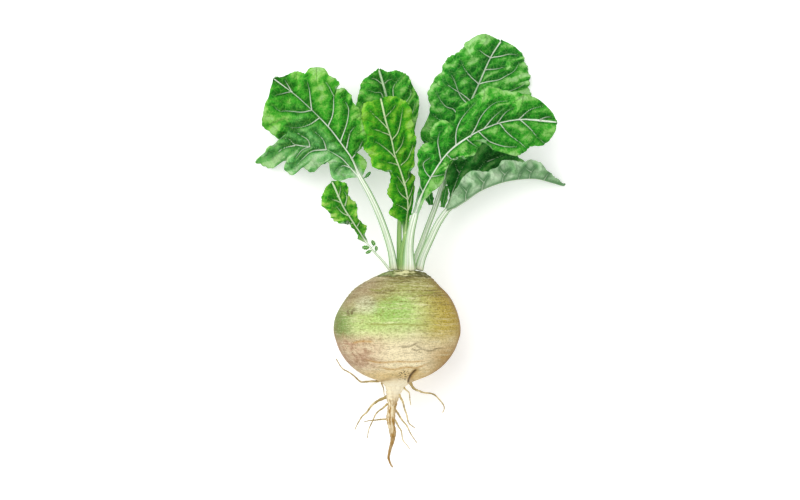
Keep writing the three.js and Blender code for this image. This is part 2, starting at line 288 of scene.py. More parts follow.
rootShape = {
    "axisHeight": 58.5,
    "lean": [(4, 30, 1.6), (36, 54, 5.9)],
    "around": 250,
    "along": 330,
    "smoothing": 9,
    "wrinkle": 0.32,
    "lump": 0.5,
    "tapLump": 0.09,
    "tapRing": 0.05,
    "crownLump": 0.7,
    "crownDrop": 0.9,
    "dimple": 3.0,
    "swell": 1.6,
    "swellPlace": (3, -47),
    "swellSize": (7, 6),
    "fissureDepth": 0.35,
    "seamDepth": 0.3,
    "grooveWidths": {"crease": 2.1, "fissures": 0.55, "seams": 0.9},
    "crease": [
        [(21, -37.5), (16.5, -41), (13.5, -45), (12, -49.5), (13, -54)],
    ],
    "fissures": [
        [(1, -17), (8, -17.5), (14, -16), (19, -13.5), (24, -13)],
        [(13, -18), (17, -20.5), (24, -19.5), (31, -21.5), (38, -19), (46, -19)],
        [(17, -15), (20, -17.5), (24, -19.5)],
        [(-6, 43.5), (2, 42.5), (9, 44), (15, 42.5)],
        [(-12, 46), (-4, 46.5), (4, 45.5), (12, 47), (19, 46)],
    ],
    "seams": [
        [(-30, -29.5), (-16, -32), (0, -31), (14, -31.5), (28, -30)],
        [(-18, -36.5), (-4, -38.5), (8, -36.5), (18, -37), (30, -33)],
        [(-42, -14), (-32, -12), (-22, -12.5)],
        [(-30, 4.5), (-14, 3.5), (4, 4), (20, 3), (34, 4.5)],
        [(0, 40), (7, 39), (13, 40)],
        [(-26, 36), (-18, 35), (-11, 36.5)],
        [(14, 33.5), (26, 32.5), (36, 33.5)],
        [(-20, 28), (-8, 26.5), (2, 27.5)],
    ],
    "profile": [
        (54, 0), (54, 13), (52.6, 17.5), (50.5, 22), (46, 29), (41, 36), (34, 44.3), (27, 49.8),
        (19, 54.2), (10, 57.8), (1, 59.8), (-6, 60), (-14, 57.8), (-22, 54.4), (-30, 49),
        (-37, 42.6), (-42.5, 35.6), (-46.5, 28.5), (-49.5, 21), (-52, 15), (-56, 9.8),
        (-61, 7.3), (-69, 5.4), (-78, 4.4), (-88, 4.2), (-96, 3.6), (-104, 2.5), (-112, 1.8),
        (-120, 1.3), (-127, 1.1), (-132, 0.9), (-133.5, 0)],
    "taproot": [
        (-50, 0, 0), (-61, -3, 0), (-69, -4.2, 0.2), (-78, -5.4, 0.2), (-88, -6, 0),
        (-99, -4, -1), (-107, -4, -2.5), (-116, -6.6, -4), (-124, -8.2, -5.5),
        (-129, -6.6, -6.5), (-133.5, -4, -7)],
}


# Distance from each point (plan view) to a curve, and the share of the curve at the nearest spot
def distanceToPath(plan, path, samples=26):
    t = np.linspace(0, 1, samples)
    line = curveAt(np.asarray(path, float)[:, :2], t)
    a, b = line[:-1], line[1:]
    ab = b - a
    ap = plan[:, None, :] - a[None]
    share = np.clip((ap * ab).sum(-1) / np.maximum((ab * ab).sum(-1), 1e-9), 0, 1)
    gap = np.linalg.norm(ap - share[..., None] * ab, axis=-1)
    nearest = gap.argmin(1)
    pick = np.arange(len(plan))
    return gap[pick, nearest], (nearest + share[pick, nearest]) / (samples - 1)


# Strength of a set of grooves at points seen from above: exp(-(distance / width)^2)
def creaseField(plan, paths, width):
    total = np.zeros(len(plan))
    for path in paths:
        gap, share = distanceToPath(plan, path)
        ends = np.minimum(1, 6 * np.minimum(share, 1 - share) + 0.15)
        total = np.maximum(total, ends * np.exp(-(gap / width) ** 2))
    return total


# The root: a profile (along, radius) turned about the Y axis, its centre shifted sideways at the
# crown and along the taproot, its radius changed by rings, lumps, fissures, seams, a crease and
# the swelling beside it, and the points then held inside the CAD node's box
def makeRoot(shape):
    profile = np.array(shape["profile"], float)
    length = np.append(0, np.cumsum(np.linalg.norm(np.diff(profile, axis=0), axis=1)))
    t = np.linspace(0, 1, shape["along"])
    fine = curveAt(profile, np.interp(t * length[-1], length, np.linspace(0, 1, len(profile))))
    along, radius = fine[:, 0], np.maximum(fine[:, 1], 0)
    tap = np.array(shape["taproot"], float)
    shiftX = np.interp(-along, -tap[:, 0], tap[:, 1])
    shiftZ = np.interp(-along, -tap[:, 0], tap[:, 2])
    kernel = np.hanning(shape["smoothing"])
    kernel = kernel / kernel.sum()
    margin = shape["smoothing"] // 2
    shiftX = np.convolve(np.pad(shiftX, margin, "edge"), kernel, "valid")
    shiftZ = np.convolve(np.pad(shiftZ, margin, "edge"), kernel, "valid")
    for low, high, lean in shape["lean"]:
        shiftX = shiftX + lean * smooth(low, high, along)
    angle = np.linspace(0, 2 * math.pi, shape["around"], endpoint=False)
    a, th = np.meshgrid(along, angle, indexing="ij")
    r = np.repeat(radius[:, None], len(angle), 1)
    ball = np.stack([np.cos(th) * r, a, np.sin(th) * r], -1)
    bulb = smooth(-56, -46, a)
    upper = smooth(14, 34, a) * smooth(56, 48, a)
    ringShare = smooth(-0.4, 0.8, sineNoise(ball, 26, 5))
    rings = np.sin(a * 2.1 + 0.9 * sineNoise(ball, 30, 3)) * ringShare
    r = r + shape["wrinkle"] * bulb * (0.25 + upper) * rings
    r = r + shape["lump"] * bulb * sineNoise(ball, 45, 9)
    tapLumps = smooth(-52, -60, a)
    unevenness = shape["tapLump"] * sineNoise(ball, 9, 12) + shape["tapRing"] * np.sin(a * 1.7)
    r = r * (1 + tapLumps * unevenness)
    facing = smooth(0, 0.4, np.sin(th))
    plan = np.stack([np.cos(th) * r + shiftX[:, None], a], -1).reshape(-1, 2)
    crease, fissure, seam = (creaseField(plan, shape[key], width).reshape(r.shape) * facing
                             for key, width in shape["grooveWidths"].items())
    offset = (plan - shape["swellPlace"]) / shape["swellSize"]
    swell = np.exp(-(offset ** 2).sum(-1)).reshape(r.shape)
    r = (r - shape["dimple"] * crease + shape["swell"] * swell * facing
         - shape["fissureDepth"] * fissure - shape["seamDepth"] * seam)
    points = np.stack([np.cos(th) * r + shiftX[:, None], a + 0 * r,
                       np.sin(th) * r + shiftZ[:, None] + shape["axisHeight"]], -1)
    crown = smooth(47, 52.5, a)
    points[..., 1] += crown * (shape["crownLump"] * sineNoise(points, 9, 21) - shape["crownDrop"])
    points[..., 2] = np.maximum(points[..., 2], 0)
    rows, sides = r.shape
    verts = points.reshape(-1, 3)
    inner = verts[sides:-sides]
    verts = np.vstack([inner, points[0].mean(0), points[-1].mean(0)])
    marks = {"crease": crease, "fissure": fissure, "seam": seam}
    values = {key: np.append(mark.ravel()[sides:-sides], [0, 0]) for key, mark in marks.items()}
    rows -= 2
    quads = gridFaces(rows, sides, True)
    box = np.array(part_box("root")) / mm
    verts = np.clip(verts, box[0], box[1])
    return makeMesh("swollenRoot", verts, quads, endFans(rows, sides), values)


rootTints = {
    "tan": "#e2c485", "cream": "#fff0c6", "straw": "#efe2b6", "paleGreen": "#cbd893",
    "olive": "#a9ac66", "darkOlive": "#8b8a50", "rosy": "#a08a6c", "lime": "#add16c",
    "heart": "#86bb4c", "paleHighlight": "#dcdcc0", "green": "#5f9230", "golden": "#bda32f",
    "pink": "#b98e74", "amber": "#b08430", "wrinkle": "#625a2c", "wrinkleLight": "#f4ecc4",
    "hatch": "#736334", "hatchLight": "#fbf0c0", "fine": "#8a7743", "grain": "#7a6836",
    "grainLight": "#fff3c4", "specks": "#4d3d1e", "spot": "#5a482c", "rightSideShade": "#93711f",
    "leftSideShade": "#836b48", "rightRimShade": "#7f571c", "leftRimShadeLow": "#a87a62",
    "leftRimShadeHigh": "#6d8a45", "tapDark": "#a27a38", "tapLight": "#fbf0cc", "tapTop": "#f8eac2",
    "tapRightShade": "#a37c35", "tapUnderShade": "#946c2a", "tapBands": "#8d6a30", "shoulderHighlight": "#fff6d8",
    "brim": "#9c7636", "seamLow": "#b98a3c", "seamHigh": "#8c8f45", "fissure": "#66521f",
    "creaseSideShade": "#b18a42", "crease": "#4f3917", "dots": "#33240e", "crownDark": "#6f7038",
    "crownLight": "#d5d3a0", "crownLeft": "#66803c", "crownRight": "#4f4a22",
    "collar": "#454218", "scars": "#55562a",
}


# Root skin: broad washes of colour placed along (level) and across (x) the root, then fine
# grain, wrinkles and specks, with painted shade on the sides and rims that turn away from above,
# on the right and underside of the taproot and in the crease, and painted highlights on the
# shoulder swelling and the upper left of the bulb
def rootLook():
    look = Look("rutabagaSkin", rootTints)
    x, y, z = look.parts(look.place)
    x, y, z = x * 1000, y * 1000, z * 1000
    drift = look.noise(20, 3) - 0.5
    slow = look.noise(9, 2) - 0.5
    level = y + drift * 18 + slow * 20
    side = x + slow * 26
    fine = look.noise(170, 5)
    grain = look.noise(620, 4)
    wrinkle = look.noise(1, 5, look.joined(x * 0.03, y * 0.42, z * 0.03), warp=0.6)
    base = look.mix(level.step(-50, -34), "tan", "cream")
    base = look.mix(level.step(-22, -6), base, "straw")
    base = look.mix(level.step(-8, 6), base, "paleGreen")
    base = look.mix(level.step(16, 34), base, "olive")
    base = look.mix(level.step(34, 48), base, "darkOlive")
    rosy = side.step(6, -32) * level.step(4, 28)
    base = look.mix(rosy * 0.9, base, "rosy")
    limeSpread = level.step(-16, 8) * level.step(38, 14)
    lime = limeSpread * side.step(-56, -18) * side.step(52, -2)
    base = look.mix(lime * 0.72, base, "lime")
    heart = (((x + 5) / 19) ** 2 + ((y - 17) / 11) ** 2 + drift * 2.4).step(1.6, 0.0)
    base = look.mix(heart * 0.6, base, "heart")
    # painted highlight: a pale grey patch on the upper left of the bulb
    paleHighlight = (((x + 29) / 12) ** 2 + ((y - 21) / 10) ** 2 + drift * 3).step(1.5, 0.0)
    base = look.mix(paleHighlight * 0.5, base, "paleHighlight")
    green = (x + drift * 20).step(-28, -57) * level.step(-14, -4) * level.step(22, 8)
    base = look.mix(green, base, "green")
    golden = side.step(8, 52) * level.step(-26, 4) * level.step(52, 24)
    base = look.mix(golden * 0.95, base, "golden")
    pink = side.step(-2, -34) * level.step(0, -14) * level.step(-48, -34)
    base = look.mix(pink * (fine.step(0.4, 0.62) * 0.4 + 0.55), base, "pink")
    amber = side.step(16, 48) * level.step(-8, -28)
    base = look.mix(amber * 0.9, base, "amber")
    base = look.mix(wrinkle.step(0.51, 0.64) * (level.step(8, 36) * 0.65 + 0.16), base, "wrinkle")
    base = look.mix(wrinkle.step(0.46, 0.32) * 0.42, base, "wrinkleLight")
    hatch = look.noise(1, 3, look.joined(x * 0.3 + y * 0.1, y * 1.3, z * 0.3), warp=0.5)
    base = look.mix(hatch.step(0.51, 0.64) * (level.step(-30, 30) * 0.25 + 0.4), base, "hatch")
    base = look.mix(hatch.step(0.46, 0.34) * 0.22, base, "hatchLight")
    base = look.mix(((fine - 0.52) * 3.2).held() * 0.5, base, "fine")
    base = look.mix(((grain - 0.52) * 4.0).held() * 0.5, base, "grain")
    base = look.mix(((0.47 - grain) * 4.0).held() * 0.4, base, "grainLight")
    specks = look.spots(360).step(0.20, 0.06) * look.noise(32, 2).step(0.46, 0.62)
    base = look.mix(specks * 0.7, base, "specks")
    spotShape = ((x + 43) / 6.5) ** 2 + ((y - 15) / 4) ** 2 + (fine - 0.5) * 3 + drift * 2
    spotDabs = fine.step(0.44, 0.56) * 0.65 + 0.25
    base = look.mix(spotShape.step(1.6, 0.0) * spotDabs * 0.9, base, "spot")
    # painted shade: the sides and rims of the bulb darken as they turn down away from above, brown
    # on the right, brown then green on the left
    around = z.step(104, 60)
    rightSideShade, leftSideShade = x.step(10, 52), x.step(-10, -52)
    base = look.mix(around * rightSideShade * 0.65, base, "rightSideShade")
    base = look.mix(around * leftSideShade * 0.55, base, "leftSideShade")
    edge = z.step(80, 61)
    base = look.mix(edge * rightSideShade * 0.65, base, "rightRimShade")
    base = look.mix(edge * leftSideShade * level.step(6, -14) * 0.4, base, "leftRimShadeLow")
    base = look.mix(edge * leftSideShade * level.step(-8, 10) * 0.4, base, "leftRimShadeHigh")
    tap = y.step(-47, -58)
    fibres = look.noise(1, 4, look.joined(x * 0.42, y * 0.07, z * 0.42), warp=0.4)
    tapBase = look.mix(fibres.step(0.40, 0.58), "tapDark", "tapLight")
    tapBase = look.mix(y.step(-74, -58) * 0.7, tapBase, "tapTop")
    # painted shade on the right side of the taproot and on its underside
    tapBase = look.mix((x + 5).step(-0.5, 4.5) * y.step(-54, -66) * 0.6, tapBase, "tapRightShade")
    tapBase = look.mix(z.step(64, 57) * 0.8, tapBase, "tapUnderShade")
    base = look.mix(tap * 0.9, base, tapBase)
    bands = look.noise(1, 4, look.joined(x * 0.06, y * 0.8, z * 0.06)).step(0.56, 0.68)
    base = look.mix(bands * y.step(-54, -66) * 0.5, base, "tapBands")
    # cream colour with a painted highlight on top of the swelling beside the crease
    shoulderHighlight = (((x - 1) / 13) ** 2 + ((z - 64) / 22) ** 2 + drift * 2).step(1.7, 0.0)
    shoulderHighlight = shoulderHighlight * y.step(-40, -48) * y.step(-76, -58)
    base = look.mix(shoulderHighlight * (fibres.step(0.3, 0.55) * 0.3 + 0.55), base, "shoulderHighlight")
    brim = (((x - 1) / 13) ** 2 + ((z - 64) / 22) ** 2 + drift * 3 - 1.25).math("ABSOLUTE")
    base = look.mix(brim.step(0.5, 0.0) * y.step(-43, -51) * 0.6, base, "brim")
    seamTone = look.mix(y.step(-8, 6), "seamLow", "seamHigh")
    base = look.mix(look.attribute("seam") * (hatch.step(0.3, 0.6) * 0.45 + 0.4), base, seamTone)
    fissureDabs = fine.step(0.3, 0.6) * 0.45 + 0.15
    base = look.mix((look.attribute("fissure") * 1.2).held() * fissureDabs, base, "fissure")
    # painted shade: brown beside the crease and dark in it
    base = look.mix(look.attribute("crease").step(0.0, 0.5) * 0.55, base, "creaseSideShade")
    base = look.mix(look.attribute("crease").step(0.5, 1.0) * 0.9, base, "crease")
    dotArea = (((x - 7) / 7) ** 2 + ((y + 45) / 6) ** 2).step(1.1, 0.5)
    dots = look.spots(430).step(0.38, 0.22) * dotArea
    base = look.mix(dots * 0.95, base, "dots")
    jagged = y + drift * 6 + (fine - 0.5) * 7
    crown = jagged.step(47.6, 49.2)
    crownBase = look.mix(look.noise(150, 4).step(0.40, 0.58), "crownDark", "crownLight")
    crownBase = look.mix(x.step(2, -6) * 0.7, crownBase, "crownLeft")
    crownBase = look.mix(x.step(15, 21) * 0.8, crownBase, "crownRight")
    base = look.mix(crown, base, crownBase)
    collar = (jagged - 48).math("ABSOLUTE").step(1.1, 0.1)
    base = look.mix(collar * 0.75, base, "collar")
    scars = look.noise(1, 3, look.joined(x * 0.12, y * 0.7, z * 0.12), warp=1.2).step(0.54, 0.62)
    base = look.mix(scars * crown * 0.6, base, "scars")
    height = (grain * 0.16 + fine * 0.3 + hatch * 0.25 + wrinkle * 0.8 * level.step(-30, 26)
              - look.attribute("fissure") * 0.5)
    normal = look.bump(height, 0.0016)
    rough = 0.52 + fine * 0.22
    return look.finish(base, rough, normal, Specular_IOR_Level=0.15)


root = makeRoot(rootShape)
finishPiece(root, "root", rootLook())
print("root made")


hairShape = {
    "sides": 12,
    "rows": 70,
    "wander": 0.55,
    "ripple": 0.12,
    "tints": {"kink": "#9d8a55", "fibre": "#dccb9c", "base": "#c9b173"},
    "paths": [
        ([(-16.5, -50.8, 58), (-28, -51.8, 57), (-37, -49.6, 57), (-44.5, -43.5, 57),
          (-52, -39.5, 58), (-57.5, -30, 58)], (1.1, 0.8, 0.6, 0.45)),
        ([(-15, -52.5, 59.5), (-13.6, -57.5, 61), (-11.6, -64.5, 62)], (0.8, 0.5, 0.3)),
        ([(-8.6, -65.2, 58), (-19, -70.6, 57), (-25.5, -76.5, 55), (-30, -82, 54),
          (-35.5, -87.5, 54), (-40, -97.5, 53)], (1.6, 1.1, 0.9, 0.7, 0.4)),
        ([(-8.8, -72, 61), (-16, -78.5, 61), (-21.5, -86, 60), (-26.5, -95.5, 59),
          (-28, -105, 58)], (1.0, 0.7, 0.55, 0.35)),
        ([(-9.2, -87, 57), (-18, -87, 56), (-24.5, -88.5, 55), (-31.5, -90, 54)],
         (0.9, 0.6, 0.35)),
        ([(12.4, -52.6, 59), (16.5, -59, 60), (22, -61.2, 60), (32, -63, 59),
          (40.5, -69.5, 58), (44.5, -75.5, 57), (43, -81, 57)], (1.5, 1.0, 0.8, 0.6, 0.35)),
        ([(6.4, -56.8, 62.6), (11, -63.5, 64), (13, -73.5, 63)], (0.9, 0.6, 0.35)),
        ([(2.2, -63.6, 60.6), (6.5, -74.5, 62), (10.5, -89, 61), (17, -95.5, 60)],
         (1.1, 0.8, 0.6, 0.35)),
        ([(-2, -78, 56.4), (3.4, -85.5, 55), (8.5, -92.5, 54), (12.5, -101, 53),
          (19, -110, 52)], (1.1, 0.8, 0.6, 0.35)),
        ([(-2, -88.2, 60), (3, -95.5, 60), (5.5, -106, 59), (12, -115.5, 58)],
         (1.0, 0.7, 0.5, 0.35)),
    ],
}


# Side root skin: pale tan fibre with darker kinks
def hairLook():
    look = Look("rootFibre", hairShape["tints"])
    patches = look.noise(140, 4)
    base = look.mix(patches.step(0.35, 0.65), "kink", "fibre")
    base = look.mix(look.attribute("along").step(0.2, 0.0) * 0.5, base, "base")
    normal = look.bump(look.noise(700, 3), 0.0004)
    return look.finish(base, 0.6 + patches * 0.2, normal, Specular_IOR_Level=0.25)


fibre = hairLook()
for number, (path, radii) in enumerate(hairShape["paths"], 1):
    verts, quads, tris, values = rodPiece(
        path, radii, radii, hairShape["sides"], hairShape["rows"],
        relief=lambda angle, t: 1 + hairShape["ripple"] * np.sin(t * 60 + 2 * np.sin(angle)),
        bend=hairShape["wander"], seed=40 + number)
    piece = makeMesh(f"sideRoot{number}", verts, quads, tris, values)
    finishPiece(piece, f"side_root_{number}", fibre)
print("side roots made")


# Each leaf: stalk and midrib points in space, margins and veins as seen from above, in mm
leafShapes = {
    "leaf_left": {
        "slot": "blade_left",
        "colours": ("#1c7f12", "#3ba722", "#88cc55", "#ecf7e2"),
        "washed": 0.85,
        "stalk": [(-3, 54, 60), (-5.5, 71, 59), (-11, 90, 57), (-18, 108.5, 55),
                  (-26.5, 126.5, 54), (-34.4, 140.6, 53)],
        "stalkWidth": (4.0, 3.3, 3.1, 3.0, 2.7, 2.3),
        "stalkHeight": (3.0, 2.6, 2.3, 2.1, 1.8, 1.5),
        "midrib": [(-35, 141.7, 53), (-42.5, 158, 54), (-54, 174, 53), (-66, 189, 50),
                   (-83, 206, 44), (-101, 222, 36), (-118, 234.5, 28)],
        "left": [(-37.4, 140.8), (-45.5, 140.4), (-56.5, 137.5), (-64, 142.5), (-66, 154),
                 (-73, 153), (-81.5, 146), (-89, 149.5), (-101, 143.5), (-109.5, 147),
                 (-108, 157), (-122, 151), (-137, 156.5), (-125.5, 164.5), (-112, 171),
                 (-115.5, 178.5), (-128.5, 189), (-128.5, 205), (-124, 216.5), (-119, 234.2)],
        "right": [(-32.6, 143), (-28.5, 154), (-33, 161.5), (-40, 166.5), (-32, 171),
                  (-27.5, 178.5), (-34, 202), (-41.5, 212.5), (-43.5, 221), (-52, 226),
                  (-58.5, 224), (-55.5, 231.5), (-63.5, 238), (-70, 245.5), (-82, 245.5),
                  (-88, 240), (-96.5, 242), (-109.5, 237), (-118.6, 235.4)],
        "droop": (0.0098, 0.004),
        "wave": (2.2, 5),
        "grid": (236, 150),
        "teeth": (1.4, 46),
        "ribWidth": 0.8,
        "veins": [
            [(-34, 139), (-44.5, 150), (-52, 158), (-58.5, 162.5), (-68, 167), (-84, 170)],
            [(-68, 167), (-82, 165.5), (-91.5, 158), (-98.5, 150)],
            [(-68, 167), (-71, 176.5), (-79.5, 185)],
            [(-84, 170), (-86, 176.5), (-93.5, 181.5), (-101, 188)],
            [(-84, 170), (-91.5, 167), (-97.5, 159.5)],
            [(-84, 170), (-98.5, 172), (-103, 176.5), (-112.5, 179.5)],
            [(-98.5, 171), (-110.5, 168), (-122, 159.5)],
            [(-44.5, 150), (-51, 152), (-56.5, 149.5), (-59.5, 145.5)],
            [(-82, 205), (-83, 214.5), (-84, 224), (-86, 231.5)],
            [(-82, 205), (-91.5, 203), (-106, 204), (-112.5, 204), (-120, 210)],
            [(-66, 190), (-61.5, 200.5), (-60.5, 214.5), (-63.5, 224), (-68, 231.5)],
            [(-48, 169), (-46.5, 176.5), (-44.5, 183.5), (-40.5, 189)],
            [(-54, 175), (-48, 192), (-46.5, 205), (-49, 212.5)],
            [(-101, 222), (-104, 227.5), (-107.5, 233.5)],
            [(-101, 223), (-108.5, 221), (-117, 219)],
            [(-74.5, 197.5), (-84, 191), (-95.5, 188), (-107, 190)],
            [(-42.5, 159.5), (-37, 167), (-33, 175)],
        ],
    },
    "leaf_small": {
        "slot": "blade_small",
        "colours": ("#23900f", "#56b02a", "#a2d456", "#dcefc4"),
        "stalk": [(-6.5, 53.6, 68.6), (-14, 63, 70), (-22.5, 72, 70), (-28, 78.7, 70)],
        "stalkWidth": (1.2, 1.0, 0.9, 0.9),
        "stalkHeight": (1.2, 1.0, 0.9, 0.8),
        "midrib": [(-28.6, 79.7, 70), (-37, 92.5, 70), (-44.5, 104, 69), (-51, 114.5, 67),
                   (-60.5, 136.5, 62)],
        "left": [(-29.9, 79.2), (-38.5, 88), (-47, 98.5), (-59, 100), (-63.5, 107.5),
                 (-71, 116), (-68, 129.5), (-61, 137.5)],
        "right": [(-27.6, 80.8), (-29.5, 89), (-28.5, 95.5), (-36, 104), (-38, 116),
                  (-44.5, 124.5), (-46.5, 134), (-54, 138), (-60, 137.7)],
        "droop": (0.012, 0.012),
        "wave": (1.0, 4),
        "grid": (120, 70),
        "teeth": (1.0, 22),
        "ribWidth": 0.8,
        "veins": [
            [(-44.5, 105), (-51, 107.5), (-57.5, 114.5)],
            [(-49, 114.5), (-47, 122), (-49, 127.5)],
            [(-37, 95.5), (-35, 99), (-34, 103)],
            [(-53, 118), (-59.5, 120), (-65, 122)],
            [(-55.5, 123), (-53, 128.5), (-53, 133)],
            [(-40.5, 98.5), (-45.5, 97.5), (-48, 100)],
        ],
    },
    "leaf_back": {
        "slot": "blade_back",
        "stalkSkin": "green",
        "colours": ("#20841a", "#44ab2c", "#8acb5c", "#d4ebc2"),
        "stalk": [(2.5, 54, 49), (2, 82, 45), (2.9, 118.8, 40)],
        "stalkWidth": (2.8, 2.3, 1.9),
        "stalkHeight": (2.4, 2.0, 1.6),
        "midrib": [(3, 120, 40), (1, 153, 34), (-3, 186, 25), (-9.5, 217.5, 14), (-17, 246, 1.4)],
        "left": [(0.8, 120.2), (-8.5, 148.5), (-27, 172), (-37, 197.5), (-39.5, 211.5),
                 (-36, 226), (-33, 235.5), (-25.5, 242), (-17.8, 247.6)],
        "right": [(5.2, 120.2), (11, 148.5), (14, 178), (20.5, 203), (20.5, 219), (15, 231.5),
                  (10.5, 240), (0, 245.5), (-8.5, 244), (-15.6, 247.4)],
        "droop": (0.003, 0.002),
        "wave": (1.0, 4),
        "grid": (150, 90),
        "teeth": (1.2, 30),
        "ribWidth": 0.55,
        "veins": [
            [(-4, 205), (-4, 218.5), (-4, 228.5), (1, 236), (6.5, 240)],
            [(-12.5, 233.5), (-8.5, 236), (-4, 237)],
            [(-10.5, 217.5), (-12.5, 219), (-15, 224), (-20, 224), (-27.5, 226)],
            [(-2, 197.5), (7.5, 213.5), (12.5, 221), (12.5, 226), (10.5, 230.5)],
            [(-8.5, 195.5), (-21, 202), (-26.5, 209), (-33, 214.5)],
            [(-1, 181.5), (8.5, 193.5), (15, 205), (17, 214.5)],
            [(-14, 233.5), (-20, 237), (-24.5, 238)],
        ],
    },
    "leaf_middle": {
        "slot": "blade_middle",
        "stalkSkin": "green",
        "colours": ("#1a840e", "#41a416", "#84c634", "#d8ecb6"),
        "stalk": [(3.4, 54, 58.5), (4.5, 71, 62), (7.4, 84.9, 66)],
        "stalkWidth": (2.4, 2.1, 1.9),
        "stalkHeight": (2.2, 1.9, 1.6),
        "midrib": [(7.5, 86, 66.3), (9, 101, 67), (10.5, 113.5, 67.5), (8.5, 129.5, 67.5),
                   (4, 145.5, 66.5), (-2, 162.5, 65), (-5.5, 178.5, 62), (-10.5, 195.5, 58),
                   (-15, 216, 52)],
        "left": [(5.4, 86.4), (4, 99), (-4, 104), (-8.5, 108.5), (-4, 117), (-9.5, 127.5),
                 (-5.5, 143.5), (-9, 147.5), (-22.5, 151), (-25.5, 161.5), (-32, 169),
                 (-28.5, 178.5), (-33, 193.5), (-32, 210), (-23.5, 213.5), (-15.4, 217)],
        "right": [(9.6, 86.2), (12, 99), (13.4, 111.5), (17, 129.5), (17, 141.5), (11.5, 149),
                  (17.5, 153), (16.8, 167), (18.4, 178.5), (15, 193.5), (14, 206),
                  (6.5, 214.5), (-4.5, 218.5), (-14.2, 217.4)],
        "droop": (0.006, 0.006),
        "wave": (1.4, 5),
        "grid": (190, 90),
        "teeth": (1.2, 40),
        "ribWidth": 1.0,
        "veins": [
            [(-4.5, 177.5), (1, 184.5), (4, 197.5), (5.5, 207)],
            [(-1, 159.5), (-8.5, 167), (-18, 174), (-22.5, 175.5)],
            [(1, 153), (-6.5, 155), (-15, 156)],
            [(-1, 164.5), (4.5, 172), (6.5, 179.5)],
            [(4, 153), (10.5, 159.5), (15, 172)],
            [(-8.5, 188), (-16, 195.5), (-21.5, 200.5), (-25.5, 205)],
            [(-6.5, 181.5), (-16, 185), (-24.5, 188)],
            [(-11.5, 198.5), (-5.5, 204), (-1, 210)],
            [(10.5, 120), (4.5, 124.5), (1, 129.5), (-1, 136)],
            [(10.5, 120), (14, 127.5), (16, 135)],
            [(10.5, 109.5), (4.5, 113.5), (-1, 116)],
            [(10.5, 109.5), (13, 116), (14.5, 124)],
            [(8.5, 131.5), (4, 137), (0, 142.5)],
            [(7.5, 136), (11.5, 141.5), (13, 146.5)],
        ],
    },
    "leaf_front": {
        "slot": "blade_front",
        "colours": ("#188416", "#38a724", "#8ccf64", "#eff9e6"),
        "stalk": [(11.2, 54, 69), (11, 73, 73), (13, 90, 76), (16.7, 104.8, 77.5)],
        "stalkWidth": (6.4, 4.3, 3.6, 3.0),
        "stalkHeight": (4.0, 3.2, 2.7, 2.1),
        "midrib": [(17, 106, 77.7), (22.5, 123, 78), (32, 141.5, 78), (44.5, 160.5, 77),
                   (57.5, 173, 75), (76.5, 184.5, 71), (97.5, 193, 65), (121, 196.5, 57),
                   (151, 194, 46)],
        "left": [(14, 107), (19, 124), (21, 139), (19, 159.5), (23.5, 172), (34, 176.5),
                 (31, 188), (42.5, 195.5), (52, 192.5), (56.5, 207), (69, 215.5), (85, 226),
                 (107, 223), (128.5, 218.5), (144.5, 207), (151.6, 195.2)],
        "right": [(20, 105.6), (28.5, 122), (43, 136), (47, 150), (57.5, 158.5), (73, 161.5),
                  (79.5, 173), (84, 175.5), (91.5, 166.5), (115.5, 161.5), (126.5, 170),
                  (140, 172), (149.5, 183.5), (151.8, 193)],
        "droop": (0.0055, 0.006),
        "wave": (2.0, 5),
        "grid": (240, 146),
        "teeth": (1.3, 44),
        "ribWidth": 0.75,
        "veins": [
            [(41.5, 156), (39.5, 165.5), (38, 175), (40.5, 185)],
            [(55.5, 172), (55.5, 181.5), (57.5, 191), (63.5, 200.5), (73.5, 211.5)],
            [(69, 179.5), (74.5, 189), (78.5, 197.5), (86, 207), (94.5, 212.5), (105, 213.5)],
            [(94.5, 192), (102, 202), (109.5, 207)],
            [(116, 196.5), (125.5, 205), (138, 209)],
            [(47, 162), (53, 157), (57.5, 158.5)],
            [(66, 177.5), (70, 173), (75.5, 170)],
            [(76.5, 185), (83, 178.5), (89, 174), (102, 170), (113.5, 170)],
            [(97.5, 192), (105, 182.5), (116, 174), (123, 168)],
            [(117, 196), (125.5, 188), (132.5, 179.5), (140, 173)],
            [(31, 141), (26.5, 146.5), (24.5, 154), (31, 159.5)],
            [(31, 141), (38.5, 142.5), (45.5, 144.5)],
            [(82, 187), (91.5, 198.5), (102, 207)],
            [(24, 127.5), (21.5, 133), (21, 139)],
            [(135, 195.5), (141.5, 198.5), (146.5, 198.5)],
        ],
    },
    "leaf_tall": {
        "slot": "blade_tall",
        "colours": ("#1a801e", "#3aa126", "#92d270", "#eaf6e0"),
        "stalk": [(13.6, 54.6, 49), (21, 73, 45), (28.5, 93.5, 41), (37, 116, 37),
                  (42, 131.9, 34.2)],
        "stalkWidth": (3.4, 2.8, 2.6, 2.5, 2.3),
        "stalkHeight": (3.0, 2.6, 2.4, 2.2, 2.0),
        "midrib": [(42.5, 133, 34), (50, 159.5, 31), (60.5, 191, 26), (70, 213.5, 21),
                   (79.5, 234.5, 14.5), (90, 258, 6.5), (99.4, 273, 1.4)],
        "left": [(40, 133.6), (36, 158), (27, 173), (22, 184), (31, 206), (30, 226),
                 (41.5, 244.5), (47, 255), (62.5, 265.5), (66, 273), (82, 280.5), (97.8, 275.2)],
        "right": [(45, 132.8), (69, 153), (102, 186), (121, 205), (128.5, 218.5), (127.5, 231.5),
                  (128.5, 241), (123, 254), (121, 261.5), (111.5, 269.5), (100.6, 275)],
        "droop": (0.0062, 0.0045),
        "wave": (1.6, 5),
        "grid": (236, 150),
        "teeth": (1.3, 40),
        "ribWidth": 0.7,
        "veins": [
            [(78.5, 232.5), (71, 239), (65, 246.5), (61.5, 254)],
            [(71, 215.5), (62.5, 222), (52, 228.5), (46.5, 233.5)],
            [(69, 211.5), (60.5, 221), (55, 235.5), (52, 241)],
